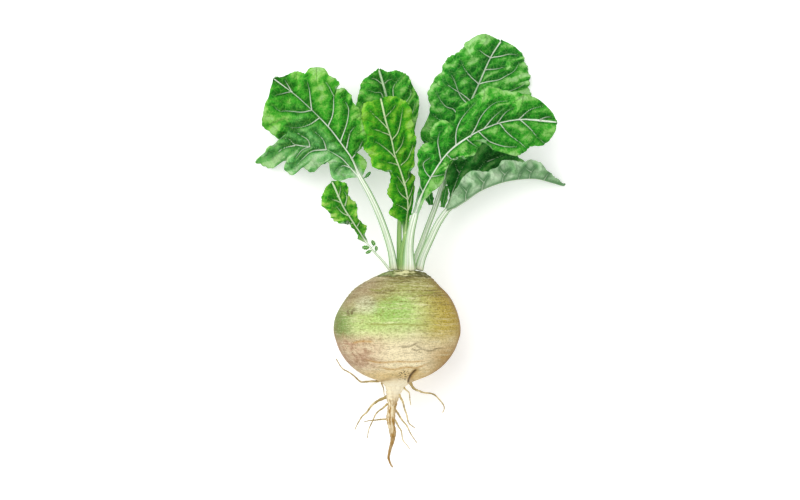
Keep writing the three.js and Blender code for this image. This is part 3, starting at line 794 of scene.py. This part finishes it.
            [(60.5, 191), (55.5, 206), (47, 210), (41.5, 216.5), (38, 224)],
            [(54, 172), (50, 192), (40.5, 197.5), (34, 203)],
            [(90, 258), (84, 261), (78.5, 265.5)],
            [(78.5, 232.5), (88, 234.5), (97.5, 236), (105, 240), (112.5, 244.5), (118, 252.5)],
            [(90, 258), (99, 259), (108.5, 261), (116, 260)],
            [(72, 218), (84, 220), (97.5, 222), (111.5, 226), (122, 231.5)],
            [(49, 158), (40.5, 169), (33, 173), (26.5, 177.5)],
            [(85, 246.5), (94.5, 246.5), (104, 248.5)],
            [(60.5, 191), (78, 200), (96, 206), (112, 208)],
            [(50, 159.5), (66, 170), (84, 180)],
        ],
    },
    "leaf_folded": {
        "slot": "blade_folded",
        "colours": ("#1a7420", "#339432", "#72b45a", "#d4e8c4"),
        "under": ("#86bc7e", "#cdeac2"),
        "stalk": [(20.4, 54, 59.5), (23.8, 66, 58), (31, 82, 56), (38.5, 97.5, 54),
                  (46, 108.6, 52)],
        "stalkWidth": (4.2, 3.6, 3.3, 3.1, 2.8),
        "stalkHeight": (3.4, 3.1, 2.8, 2.6, 2.4),
        "midrib": [(47, 109.8, 52), (63.5, 121, 50), (80.5, 132.5, 46), (105, 141, 36),
                   (130.5, 143.5, 22), (147.5, 140, 10), (160.5, 135.5, 3)],
        "left": [(45.6, 112.4), (50, 125.5), (46.5, 142.5), (55, 159.5), (69, 172),
                 (88, 181.5), (108.5, 171), (117, 160.5), (125.5, 154), (144.5, 146),
                 (160, 137)],
        "right": [(48.2, 112.6), (55.5, 130.5), (69, 147.5), (88, 147.5), (100, 158),
                  (116, 157), (133, 158), (143.5, 149.5), (154, 142), (160.8, 137.2)],
        "fold": (7, 13),
        "droop": (0, 0),
        "wave": (1.0, 4),
        "grid": (180, 130),
        "teeth": (1.0, 34),
        "ribWidth": 1.0,
        "veins": [
            [(49, 113.5), (53, 128.5), (55.5, 135), (59.5, 145.5), (62.5, 151), (66, 157)],
            [(59.5, 145.5), (56.5, 151), (55.5, 157)],
            [(65, 129.5), (71, 142.5), (78.5, 150), (83, 156), (90.5, 165.5)],
            [(86, 157), (97.5, 161.5), (107, 165.5)],
            [(80.5, 132.5), (92.5, 146.5), (107, 158), (114.5, 163.5)],
        ],
        "underVeins": [
            [(78.5, 131.5), (81.5, 138), (86, 143.5)],
            [(81.5, 138), (77.5, 141.5), (74.5, 144.5)],
            [(97.5, 138), (101, 145.5), (107, 150)],
            [(101, 145.5), (97.5, 148.5), (95.5, 152)],
            [(124.5, 142.5), (126.5, 148.5), (131.5, 153)],
            [(126.5, 148.5), (123, 150), (120, 153)],
            [(63.5, 121), (65, 128.5), (69, 135)],
            [(65, 128.5), (62.5, 131.5), (59.5, 135)],
            [(113.5, 141), (116, 146.5), (120, 151)],
            [(140, 142.5), (142.5, 145.5), (145.5, 147.5)],
        ],
    },
}

leafBuild = {
    "thickness": 0.8,
    "floor": 0.5,
    "veinWidth": (0.6, 0.36),
    "valley": (2.6, 4.2),
    "ribValley": (3.2, 5.5),
    "ridge": 0.35,
    "tailShare": 0.2,
    "ribRun": 150,
    "veinRun": 45,
    "light": (-0.6, 0.8, 0),
    "pucker": 0.85,
    "crinkle": 0.16,
    "frill": 1.6,
    "frillRate": 2.7,
    "rimThinning": 0.45,
    "floorEase": 3,
    "tailFade": (0.8, 0.5, 0.3, 0.12),
    "tailSink": (0.9, 0.4),
    "stalkGrid": (90, 44),
}

leafTints = {
    "washedMid": "#84c67a", "washedDark": "#58a557", "washedLight": "#c2e2b6",
    "deepPatchAndShade": "#0b3d10", "veinSideShade": "#0a3a0f", "underDark": "#5c9f55", "underLight": "#9fcf8f",
    "underValleyShade": "#3f7d45", "underVein": "#d4e8c6",
}

stalkTints = {"groove": "#5d8a48", "foot": "#d6cfa4", "speckle": "#7fae62"}


# Vein values at each point: line = strength of a pale vein, valley = broad dip beside the veins,
# gap = distance to the nearest vein, run = position along that vein, counted on from vein to vein
def veinField(plan, rib, veins, ribWidth, build):
    gap, share = distanceToPath(plan, rib)
    width = ribWidth * (1 - 0.7 * share)
    line = np.exp(-(gap / width) ** 2)
    valley = build["ribValley"][0] * np.exp(-(gap / build["ribValley"][1]) ** 2)
    nearest = gap
    run = share * build["ribRun"]
    for number, path in enumerate(veins, 1):
        gap, share = distanceToPath(plan, path)
        width = build["veinWidth"][0] * (1 - share) + build["veinWidth"][1] * share
        strength = 0.98 - 0.4 * share
        line = np.maximum(line, strength * np.exp(-(gap / width) ** 2))
        dip = build["valley"][0] * (1 - 0.5 * share) * np.exp(-(gap / build["valley"][1]) ** 2)
        valley = np.maximum(valley, dip)
        run = np.where(gap < nearest, (share + number * 3) * build["veinRun"], run)
        nearest = np.minimum(nearest, gap)
    return line, valley, nearest, run


# Unit normals of a grid of points: one grid step crossed with the other
def sheetNormal(points):
    return unit(np.cross(np.gradient(points, axis=1), np.gradient(points, axis=0)))


# A thin solid: the grid of points moved by half the thickness to each side of itself, the two
# faces joined round their border
def makeSheet(name, points, half, values):
    rows, columns = points.shape[:2]
    normal = sheetNormal(points)
    top = (points + normal * half).reshape(-1, 3)
    bottom = (points - normal * half).reshape(-1, 3)
    count = rows * columns
    border = np.concatenate([np.arange(columns), np.arange(1, rows) * columns + columns - 1,
                             (rows - 1) * columns + np.arange(columns - 2, -1, -1),
                             np.arange(rows - 2, 0, -1) * columns])
    ahead = np.roll(border, -1)
    quads = np.vstack([gridFaces(rows, columns, False),
                       gridFaces(rows, columns, False, count, True),
                       np.stack([ahead, border, border + count, ahead + count], -1)])
    both = {key: np.tile(np.ravel(value), 2) for key, value in values.items()}
    both["under"] = np.repeat([0.0, 1.0], count)
    return makeMesh(name, np.vstack([top, bottom]), quads, (), both)


# A blade: from the midrib to each margin, falling with the square of the distance, rippling
# towards the toothed margin, dipping along the veins, and kept above the ground. A folded one
# rises to the right of its midrib and falls to the left.
def makeBlade(name, leaf, build, seed):
    rows, columns = leaf["grid"]
    u, v = np.meshgrid(np.linspace(0, 1, rows), np.linspace(-1, 1, columns), indexing="ij")
    side = (v > 0).astype(int)
    fold = "fold" in leaf
    middle = curveAt(leaf["midrib"], u)
    edge = np.where(side[..., None], curveAt(leaf["right"], u), curveAt(leaf["left"], u))
    toothDepth, toothCount = leaf["teeth"]
    wobble = u * toothCount + 0.8 * np.sin(u * 17 + seed) + side * 0.4
    tooth = np.abs(np.sin(math.pi * wobble)) ** 0.7 * (0.6 + 0.4 * np.sin(u * 23 + 2 * seed))
    halfWidth = np.maximum(np.linalg.norm(edge - middle[..., :2], axis=-1), 1)
    ends = np.clip(np.sin(math.pi * u), 0, 1)
    cut = np.minimum(toothDepth * (1 - tooth) * ends ** 0.3 / halfWidth, 0.3)
    reach = np.abs(v) ** (2 if fold else 1) * (1 - cut * v ** 6)
    plan = middle[..., :2] + (edge - middle[..., :2]) * reach[..., None]
    distance = halfWidth * reach
    z = middle[..., 2] - np.where(side, leaf["droop"][1], leaf["droop"][0]) * distance ** 2
    waveHeight, waveCount = leaf["wave"]
    z = z + waveHeight * ends * v ** 2 * np.sin(2 * math.pi * waveCount * u + side * math.pi)
    if fold:
        openness = 0.2 + 0.8 * np.sqrt(ends)
        z = z + np.where(side, leaf["fold"][1], -leaf["fold"][0]) * openness * np.abs(v)
    flat = plan.reshape(-1, 2)
    fields = veinField(flat, leaf["midrib"], leaf["veins"], leaf["ribWidth"], build)
    if fold:
        other = veinField(flat, leaf["midrib"], leaf["underVeins"], leaf["ribWidth"], build)
        pick = side.ravel().astype(bool)
        fields = [np.where(pick, b, a) for a, b in zip(fields, other)]
    line, valley, gap, run = (q.reshape(u.shape) for q in fields)
    points = np.concatenate([plan, z[..., None]], -1)
    normal = sheetNormal(points)
    plane = points[..., :2]
    puckers = (build["pucker"] * sineNoise(plane, 13, seed, 18)
               + build["crinkle"] * sineNoise(plane, 6, seed + 9, 26))
    puckers = puckers * smooth(0, 5, gap)
    frillCount = waveCount * build["frillRate"]
    frill = build["frill"] * np.abs(v) ** 5 * np.sin(2 * math.pi * frillCount * u + seed)
    lift = -valley + build["ridge"] * line + puckers + frill * ends
    lift = lift * np.minimum(1, 12 * u + 0.1) * ends ** 0.25
    points = points + normal * lift[..., None]
    points = fitToNode(points.reshape(-1, 3), name + "_blade").reshape(points.shape)
    low, ease = build["floor"], build["floorEase"]
    z = points[..., 2]
    points[..., 2] = np.where(z < low + ease, low + ease * np.exp((z - low - ease) / ease), z)
    # painted light: the tilt of the relief against a fixed light direction, kept as a hillshade
    # for the leaf colour
    paintedHillShade = (sheetNormal(points) - normal) @ np.array(build["light"])
    half = build["thickness"] / 2 * (1 - build["rimThinning"] * v[..., None] ** 8)
    values = {"vein": line, "gap": gap, "run": run, "across": v, "along": u, "paintedHillShade": paintedHillShade}
    return makeSheet(name + "Blade", points, half, values)


# Leaf skin: painted shade beside the veins and painted highlight on the bulges between them, a
# painted hillshade of the relief, brushed along the side veins, pale on the veins, even along the
# rim, duller and bluer underneath with painted shade near the veins
def leafLook(name, colours, under=None, washedShare=0.0, seed=0.0):
    dark, mid, light, vein = colours
    underDark, underLight = under or ("underDark", "underLight")
    look = Look(name + "Leaf", leafTints)
    across, along = look.attribute("across"), look.attribute("along")
    gap, line = look.attribute("gap"), look.attribute("vein")
    lower = look.attribute("under")
    shifted = look.node("ShaderNodeVectorMath", {"operation": "ADD"},
                        {0: look.place, 1: (seed, seed * 1.7, 0)})
    broad = look.noise(24, 2, shifted) - 0.5
    patch = look.noise(85, 4, shifted, warp=0.5) - 0.5
    strokePlace = look.joined(look.attribute("run") * 0.5, gap * 0.18, seed)
    strokes = look.noise(1, 5, strokePlace, roughness=0.68, warp=1.6) - 0.5
    crumple = look.noise(230, 3, shifted, warp=0.9) - 0.5
    wrinklePlace = look.joined(look.attribute("run") * 1.5, gap * 0.45, seed)
    wrinkles = look.noise(1, 3, wrinklePlace, warp=1.0) - 0.5
    fine = look.noise(600, 4, shifted)
    net = look.cracks(190, shifted)
    # painted highlight: lighter with distance from the nearest vein, on the bulges
    bulgeHighlight = (gap / 9).held()
    outer = across.math("ABSOLUTE").step(0.3, 1.0)
    # the tone mixes random colour patches with painted light: the bulge highlight and the
    # hillshade
    toneAndPaintedLight = (bulgeHighlight * 1.05 + outer * 0.3 + patch * 1.5 + broad * 2.0 + strokes * 1.2
            + wrinkles * 1.3 + crumple * 1.5 + look.attribute("paintedHillShade") * 1.6)
    washed = across.step(0.0, -0.3) * along.step(0.85, 0.4) * washedShare
    base = look.mix(toneAndPaintedLight.step(0.62, 0.05), look.mix(washed, mid, "washedMid"),
                    look.mix(washed, dark, "washedDark"))
    # darkest tone: dark green patches and painted shade
    base = look.mix(toneAndPaintedLight.step(0.3, -0.5) * 0.7, base, look.mix(0.6, dark, "deepPatchAndShade"))
    base = look.mix(toneAndPaintedLight.step(0.66, 1.5) * 0.95, base, look.mix(washed, light, "washedLight"))
    # painted highlight: the highest tone turns pale
    base = look.mix(toneAndPaintedLight.step(1.3, 2.1) * 0.5, base, look.mix(0.35, light, vein))
    # painted shade: darkest right beside the veins
    veinSideShade = gap.step(3.4, 0.6) * (strokes * 3 + 0.6).held()
    base = look.mix(veinSideShade * 0.72, base, look.mix(0.6, dark, "veinSideShade"))
    base = look.mix(net.step(0.09, 0.02) * 0.2, base, light)
    base = look.mix(((fine - 0.5) * 3.0).held() * 0.5, base, dark)
    base = look.mix(((0.48 - fine) * 3.0).held() * 0.35, base, light)
    base = look.mix(along.step(0.14, 0.0) * gap.step(6, 0) * 0.6, base, vein)
    rim = across.math("ABSOLUTE").step(0.965, 1.0)
    base = look.mix(rim * 0.5, base, look.mix(0.5, dark, light))
    base = look.mix(line.step(0.3, 0.9) * 0.95, base, vein)
    underTone = (patch * 3 + strokes * 1.5 + bulgeHighlight * 0.5 + 0.2).held()
    underBase = look.mix(underTone, underDark, underLight)
    # painted shade on the underside near the veins
    underBase = look.mix((gap / 3.0).step(1.0, 0.2) * 0.65, underBase, "underValleyShade")
    underBase = look.mix(((fine - 0.5) * 3).held() * 0.3, underBase, underDark)
    underBase = look.mix(line.step(0.3, 0.9) * 0.85, underBase, "underVein")
    base = look.mix(lower, base, underBase)
    height = (net.step(0.0, 0.25) * 0.4 + fine * 0.3 + strokes * 0.9 + patch * 0.8
              + (wrinkles + crumple) * 0.7)
    normal = look.bump(height, 0.0014)
    rough = 0.55 + fine * 0.2 + lower * 0.1
    return look.finish(base, rough, normal, Specular_IOR_Level=0.12)


# Stalk skin: pale, ribbed lengthwise, green on the flanks as colour and painted shade, with a
# painted shade line along the groove on top, paler at the foot
def stalkLook(name, shade, pale, edge):
    look = Look(name, stalkTints)
    along, top, flank = look.attribute("along"), look.attribute("top"), look.attribute("flank")
    ribs = look.noise(1, 3, look.joined(flank * 5, top * 3, along * 1.2))
    fine = look.noise(400, 3)
    base = look.mix(ribs.step(0.36, 0.56), shade, pale)
    # green flanks: partly the stalk's colour, partly painted shade where the sides turn away from
    # above
    base = look.mix(flank.math("ABSOLUTE").step(0.5, 1.0) * 0.85, base, edge)
    # painted shade along the groove on top
    groove = (flank + 0.12).math("ABSOLUTE").step(0.22, 0.04) * top.step(0.2, 0.7)
    base = look.mix(groove * 0.45, base, "groove")
    base = look.mix(along.step(0.06, 0.0) * 0.5, base, "foot")
    base = look.mix(((fine - 0.5) * 2).held() * 0.25, base, "speckle")
    normal = look.bump(ribs * 0.6 + fine * 0.15, 0.0007)
    return look.finish(base, 0.42 + fine * 0.15, normal, Specular_IOR_Level=0.35)


# A stalk: an ellipse in section with ribs and a groove on top, and past its own end a tail that
# thins along the midrib
def makeStalk(name, leaf, build):
    stem = np.array(leaf["stalk"], float)
    fade = np.array(build["tailFade"])
    tail = curveAt(leaf["midrib"], np.linspace(0.02, build["tailShare"], len(fade)))
    lastWidth, lastHeight = leaf["stalkWidth"][-1], leaf["stalkHeight"][-1]
    path = np.vstack([stem, tail])
    sink, furtherSink = build["tailSink"]
    path[len(stem):, 2] -= sink + furtherSink * (1 - fade)
    widths = [*leaf["stalkWidth"], *(lastWidth * fade)]
    heights = [*leaf["stalkHeight"], *(lastHeight * fade)]

    def relief(angle, t):
        ribs = 0.05 * np.cos(9 * angle) + 0.03 * np.cos(14 * angle + 1)
        groove = -0.22 * np.exp(-((np.sin(angle) - 1) ** 2 + np.cos(angle) ** 2) / 0.09)
        return 1 + ribs + groove

    rows, sides = build["stalkGrid"]
    verts, quads, tris, values = rodPiece(path, widths, heights, sides, rows, relief)
    return makeMesh(name + "Stalk", verts, quads, tris, values)


stalkSkins = {
    "pale": stalkLook("paleStalk", "#a9cc92", "#f8fbf0", "#5f9f42"),
    "green": stalkLook("greenStalk", "#5c9a34", "#b8d88c", "#3f8626"),
}
for number, (name, leaf) in enumerate(leafShapes.items()):
    blade = makeBlade(name, leaf, leafBuild, 60 + number)
    look = leafLook(name, leaf["colours"], leaf.get("under"), leaf.get("washed", 0), 0.13 * number)
    finishPiece(blade, name + "_blade", look)
    stalk = makeStalk(name, leaf, leafBuild)
    finishPiece(stalk, name + "_stalk", stalkSkins[leaf.get("stalkSkin", "pale")])
    print(name, "made")


leafletShapes = {
    "leaflet_small_1": ((-25.6, 74.9, 70.8), (-32.4, 75.4, 71), 2.2, "leaflets_pale"),
    "leaflet_small_2": ((-21.2, 76.9, 70.4), (-23.4, 81.6, 71), 1.9, "leaflets_pale"),
    "leaflet_small_3": ((-23.8, 72.4, 70.4), (-29.2, 70.2, 70.8), 1.7, "leaflets_pale"),
    "leaflet_small_4": ((-19.6, 71.6, 71.0), (-19.6, 76.4, 71.8), 1.5, "leaflets_pale"),
    "leaflet_tall_left": ((33.5, 115.5, 38), (30, 131, 41), 4.8, "leaflets_dark"),
    "leaflet_tall_right": ((42.4, 112.5, 38), (46.4, 134, 41), 4.0, "leaflets_dark"),
    "leaflet_left": ((-30.6, 140.8, 53.4), (-25.4, 146.4, 53), 1.9, "leaflets_dark"),
}

leafletBuild = {
    "grid": (44, 25),
    "neck": 12,
    "neckHalf": 0.45,
    "thickness": 0.5,
    "lobe": 0.22,
    "sag": 0.12,
    "ripple": 0.10,
    "stalks": {"small": "leaf_small", "tall": "leaf_tall", "left": "leaf_left"},
}


# A leaflet: width times a sine along its length, with three lobes a side, and a narrow neck from
# its base straight to the nearest point of the skin of its stalk
def makeLeaflet(name, base, tip, half, build):
    rows, columns = build["grid"]
    u, v = np.meshgrid(np.linspace(0, 1, rows), np.linspace(-1, 1, columns), indexing="ij")
    start, end = np.array(base, float), np.array(tip, float)
    across = unit(np.cross(end - start, [0, 0, 1.0]))
    spread = half * (0.34 + 0.66 * np.sin(math.pi * np.clip(u * 0.9 + 0.08, 0, 1)))
    spread = spread * (1 - build["lobe"] * np.abs(np.sin(3 * math.pi * u)) * np.abs(v) ** 2)
    points = start + (end - start) * u[..., None] + across * (spread * v)[..., None]
    ripple = build["ripple"] * np.abs(v) * np.sin(5 * math.pi * u)
    points[..., 2] += half * (-build["sag"] * v ** 2 + ripple)
    points = fitToNode(points.reshape(-1, 3), name).reshape(points.shape)
    leaf = leafShapes[build["stalks"][name.split("_")[1]]]
    share = np.linspace(0, 1, 200)
    stem = curveAt(leaf["stalk"], share)
    radius = np.interp(share, np.linspace(0, 1, len(leaf["stalkWidth"])), leaf["stalkWidth"])
    foot = points[0].mean(0)
    nearest = np.linalg.norm(stem - foot, axis=1).argmin()
    joint = stem[nearest] + unit(foot - stem[nearest]) * radius[nearest] * 0.9
    way = np.linspace(0, 1, build["neck"], endpoint=False)[:, None, None]
    line = joint + (foot - joint) * way
    baseHalf = np.linalg.norm(points[0] - foot, axis=1).max()
    flare = build["neckHalf"] + (baseHalf - build["neckHalf"]) * way ** 3
    neck = line + across * flare * v[0][None, :, None]
    points = np.concatenate([neck, points])
    rows += build["neck"]
    u, v = np.meshgrid(np.linspace(0, 1, rows), np.linspace(-1, 1, columns), indexing="ij")
    gap = np.abs(v) * half
    values = {"vein": np.exp(-(gap / 0.35) ** 2), "gap": 4 + gap * 2, "run": u * 20, "across": v,
              "along": 0.2 + u * 0.3, "paintedHillShade": 0 * u}
    return makeSheet(name + "Blade", points, build["thickness"] / 2, values)


leafletLooks = {
    "leaflets_pale": leafLook("paleLeaflet", ("#3f9a34", "#66b548", "#a0cf78", "#c4e2a8")),
    "leaflets_dark": leafLook("darkLeaflet", ("#1a6a22", "#2f8a30", "#6fb255", "#a6d692")),
}
for name, (base, tip, half, slot) in leafletShapes.items():
    finishPiece(makeLeaflet(name, base, tip, half, leafletBuild), name, leafletLooks[slot])
print("leaflets made")


setting = {
    "floorSize": 6.0,
    "floorColour": "#fbfbfa",
    "floorGlow": 0.26,
    "worldStrength": 0.69,
    "keyEnergy": 40.0,
    "keySize": 2.4,
    "keyPlace": (-0.9, 1.0, 2.0),
    "fillEnergy": 6.0,
    "fillPlace": (1.4, -0.6, 1.6),
    "lens": 150.0,
    "sensor": 36.0,
    "viewWidth": 0.756,
    "aim": (0.0028, 0.0728, 0.058),
    "lightAim": (0, 0.08, 0.05),
}

bpy.ops.mesh.primitive_plane_add(size=setting["floorSize"], location=(0, 0, 0))
floor = bpy.context.object
floor.name = "paleFloor"
floorLook = Look("paleFloor")
grainy = floorLook.noise(60, 3)
floorBase = floorLook.mix(grainy * 0.3, setting["floorColour"], "#f4f4f2")
floor.data.materials.append(floorLook.finish(
    floorBase, 0.9, floorLook.bump(grainy, 0.0001),
    Emission_Color=(1, 1, 1, 1), Emission_Strength=setting["floorGlow"]))


# A square area light that faces the object
def addLight(name, place, energy, size):
    data = bpy.data.lights.new(name, "AREA")
    data.energy = energy
    data.size = size
    lamp = bpy.data.objects.new(name, data)
    lamp.location = place
    direction = np.array(setting["lightAim"]) - np.array(place)
    lamp.rotation_euler = (math.acos(-direction[2] / np.linalg.norm(direction)), 0,
                           math.atan2(direction[1], direction[0]) - math.pi / 2)
    bpy.context.scene.collection.objects.link(lamp)


addLight("keyLight", setting["keyPlace"], setting["keyEnergy"], setting["keySize"])
addLight("fillLight", setting["fillPlace"], setting["fillEnergy"], setting["keySize"])

world = bpy.data.worlds.new("studio")
world.use_nodes = True
world.node_tree.nodes["Background"].inputs["Color"].default_value = (1, 1, 1, 1)
world.node_tree.nodes["Background"].inputs["Strength"].default_value = setting["worldStrength"]
bpy.context.scene.world = world
bpy.context.scene.view_settings.view_transform = "Standard"

cameraData = bpy.data.cameras.new("topCamera")
cameraData.lens = setting["lens"]
cameraData.sensor_width = setting["sensor"]
camera = bpy.data.objects.new("topCamera", cameraData)
height = setting["viewWidth"] * setting["lens"] / setting["sensor"]
aim = setting["aim"]
camera.location = (aim[0], aim[1], aim[2] + height)
bpy.context.scene.collection.objects.link(camera)
bpy.context.scene.camera = camera
print("floor, lights and camera set")
